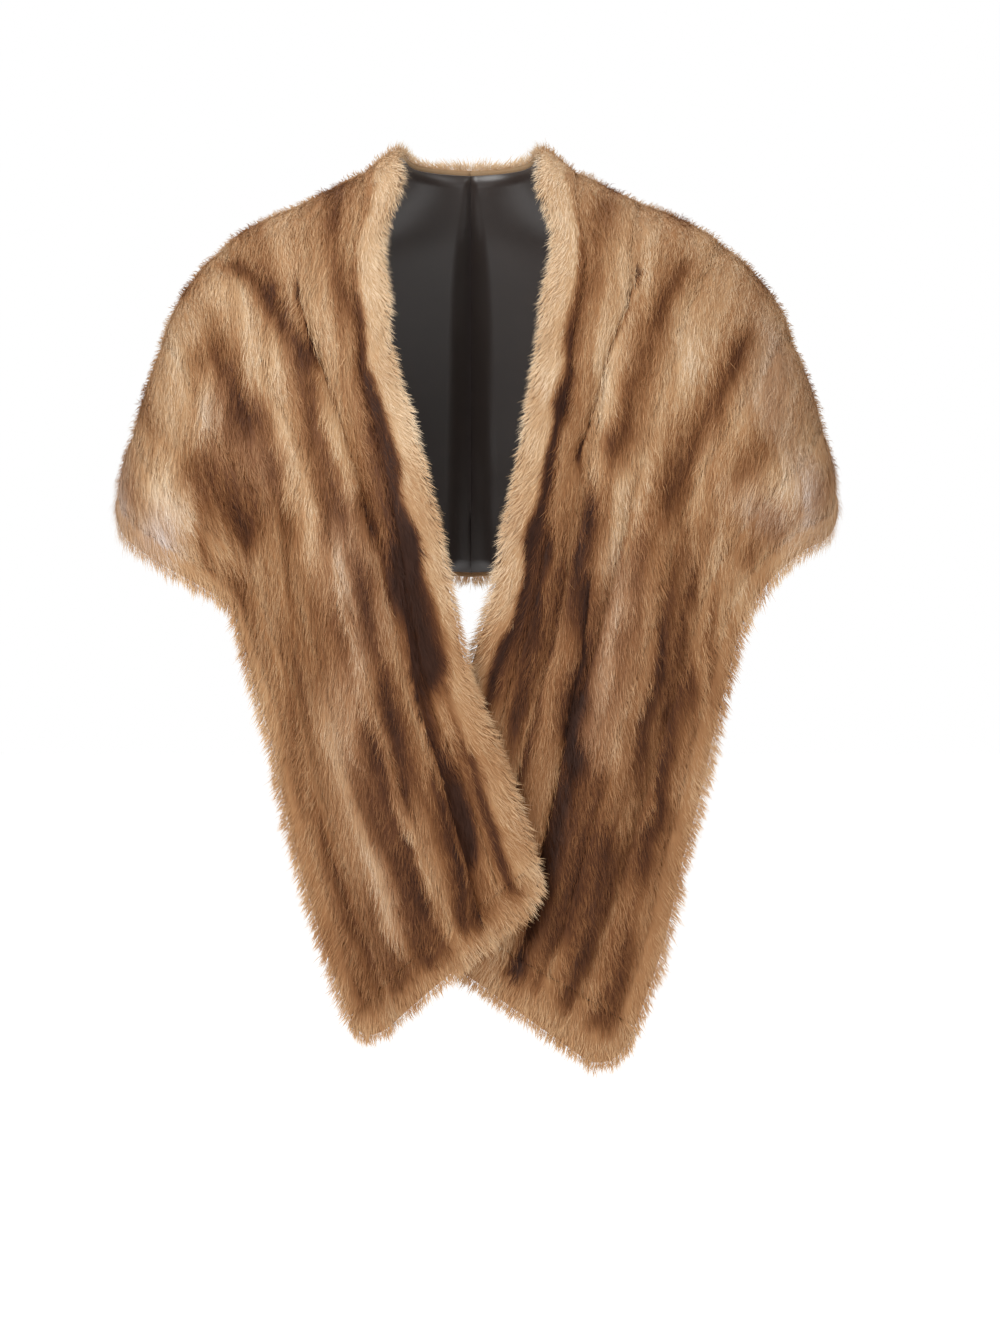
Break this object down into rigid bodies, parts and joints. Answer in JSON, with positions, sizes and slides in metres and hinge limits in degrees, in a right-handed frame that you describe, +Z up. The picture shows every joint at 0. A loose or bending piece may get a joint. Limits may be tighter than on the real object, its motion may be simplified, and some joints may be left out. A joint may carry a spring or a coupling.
{
  "type": "evening stole",
  "caption": "Fur evening stole of let-out strips with a dark satin lining, worn round the shoulders, its two slanted front ends crossed.",
  "frame": {"origin": "between the tops of the wearer's two shoulders, where the stole is held up", "axes": "+Z up, -Y to the wearer's front, +X to the wearer's left"},
  "size_m": [0.637, 0.3347, 0.788],
  "materials": {
    "fur_skins": "glossy brown dressed fur with darker stripes",
    "fur_border": "lighter golden brown dressed fur",
    "lining_satin": "dark satin"
  },
  "bodies": {
    "root": {"right_neck_border": "fur_border", "right_skin_1": "fur_skins", "right_skin_2": "fur_skins", "right_skin_3": "fur_skins", "right_skin_4": "fur_skins", "right_skin_5": "fur_skins", "right_hem_border": "fur_border", "right_end_border": "fur_border", "right_lining": "lining_satin", "left_neck_border": "fur_border", "left_skin_1": "fur_skins", "left_skin_2": "fur_skins", "left_skin_3": "fur_skins", "left_skin_4": "fur_skins", "left_skin_5": "fur_skins", "left_hem_border": "fur_border", "left_end_border": "fur_border", "left_lining": "lining_satin"}
  },
  "joints": []
}
